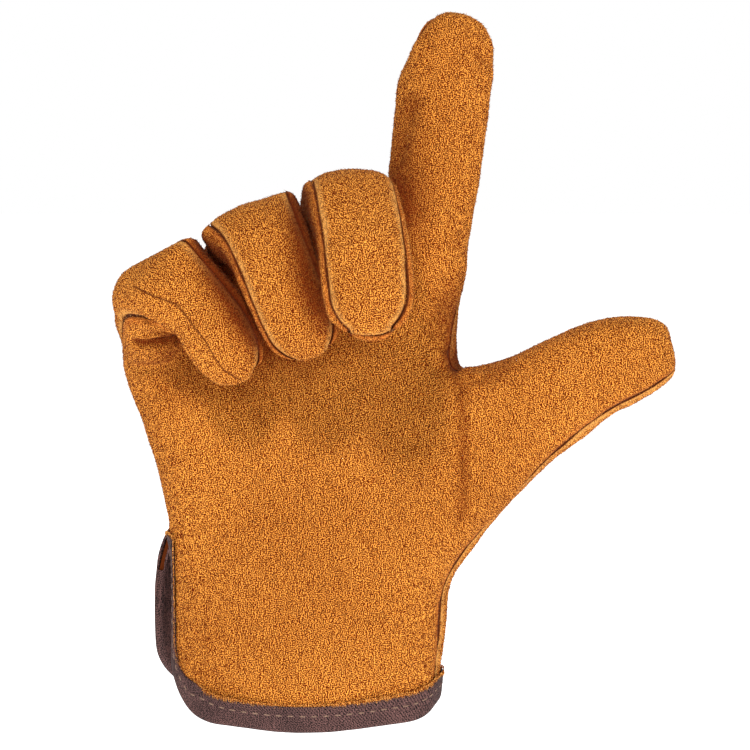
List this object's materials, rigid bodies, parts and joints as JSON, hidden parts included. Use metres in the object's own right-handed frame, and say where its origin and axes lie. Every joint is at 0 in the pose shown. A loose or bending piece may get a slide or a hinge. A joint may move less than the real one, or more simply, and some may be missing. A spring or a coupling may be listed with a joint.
{
  "type": "leather work glove",
  "caption": "Split leather work glove for the right hand, held as worn: index finger up, thumb out, other fingers curled, side slit and woven tape at the cuff.",
  "frame": {"origin": "centre of the opening at the cuff, where the hand goes in", "axes": "+Z from the wrist to the tip of the index finger, palm facing -Y, thumb pointing to +X"},
  "size_m": [0.1879, 0.102, 0.2409],
  "materials": {
    "hide": "golden tan split leather with a short raised nap",
    "tape": "brown woven twill tape, folded over the edge and sewn through"
  },
  "bodies": {
    "root": {"palm_leather": "hide", "back_leather": "hide", "fourchette_little_ring": "hide", "fourchette_ring_middle": "hide", "fourchette_middle_index": "hide", "cuff_binding": "tape"}
  },
  "joints": []
}
